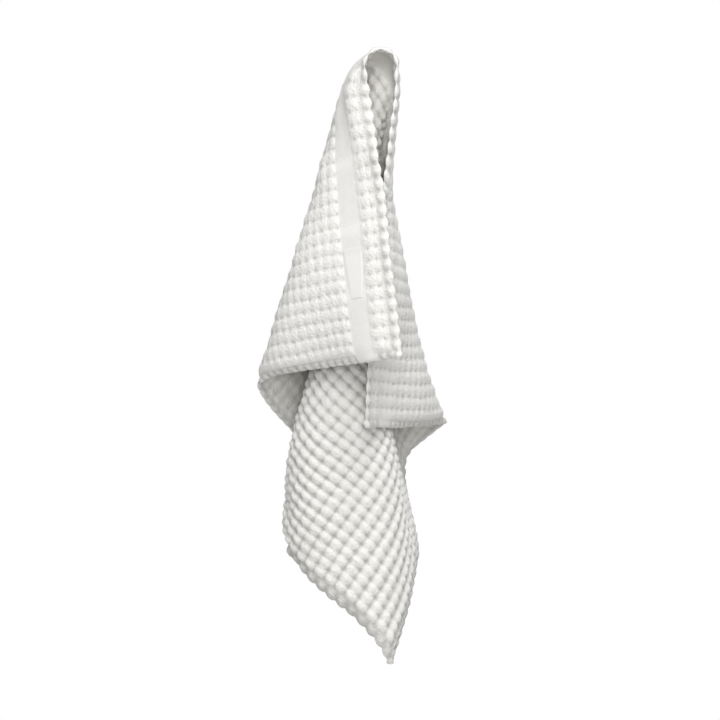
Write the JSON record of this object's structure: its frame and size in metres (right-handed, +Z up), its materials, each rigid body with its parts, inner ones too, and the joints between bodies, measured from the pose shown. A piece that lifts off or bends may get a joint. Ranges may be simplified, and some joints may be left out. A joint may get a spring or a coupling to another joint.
{
  "type": "hand towel of waffle cloth",
  "caption": "Hand towel of waffle-weave cotton with a plain woven band and a tape loop, hung by one point of its long edge in loose folds.",
  "frame": {"origin": "the point under the top of the arch where a hook or peg would carry the towel", "axes": "+X to the right of someone facing the front panel, +Y towards the back, +Z up"},
  "size_m": [0.1895, 0.2958, 0.6003],
  "materials": {
    "waffle_cloth": "white cotton waffle weave, matt",
    "tape": "white woven cotton tape, matt"
  },
  "bodies": {
    "root": {"towel": "waffle_cloth", "hanging_loop": "tape"}
  },
  "joints": []
}
